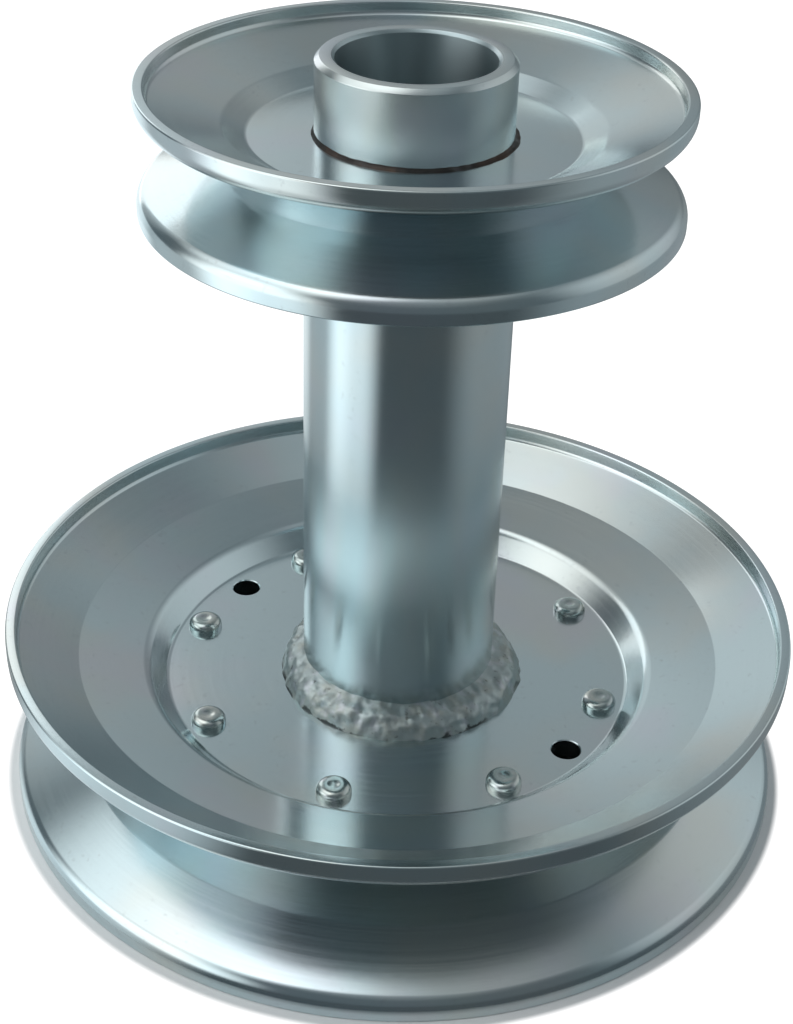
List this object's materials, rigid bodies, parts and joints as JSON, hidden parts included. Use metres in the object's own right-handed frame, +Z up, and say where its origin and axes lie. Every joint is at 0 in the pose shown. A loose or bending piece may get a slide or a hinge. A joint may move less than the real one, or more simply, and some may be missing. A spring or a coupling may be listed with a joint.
{
  "type": "stacked two-groove belt pulley",
  "caption": "Pressed-steel crankshaft pulley stack: a wide and a narrow V-belt pulley on one bored hub tube, bright zinc plated, riveted, welded and brazed.",
  "frame": {"origin": "on the shaft axis, in the plane of the lower rim edge that the pulley stands on", "axes": "+Z up the shaft axis towards the collar; the two plain holes of the lower web lie on the X axis"},
  "size_m": [0.1416, 0.1416, 0.135],
  "materials": {
    "zinc_tube": "bright zinc plate, drawn tube",
    "zinc_plate": "bright zinc plate on pressed sheet",
    "zinc_rivet": "bright zinc plate, set heads",
    "weld_metal": "rough plated weld ripple",
    "braze_metal": "dark heat-stained fillet"
  },
  "bodies": {
    "root": {"hub_tube": "zinc_tube", "upper_pulley_top_half": "zinc_plate", "upper_pulley_bottom_half": "zinc_plate", "lower_pulley_top_half": "zinc_plate", "lower_pulley_bottom_half": "zinc_plate", "lower_pulley_rivets": "zinc_rivet", "hub_weld_bead": "weld_metal", "collar_braze_ring": "braze_metal"}
  },
  "joints": []
}
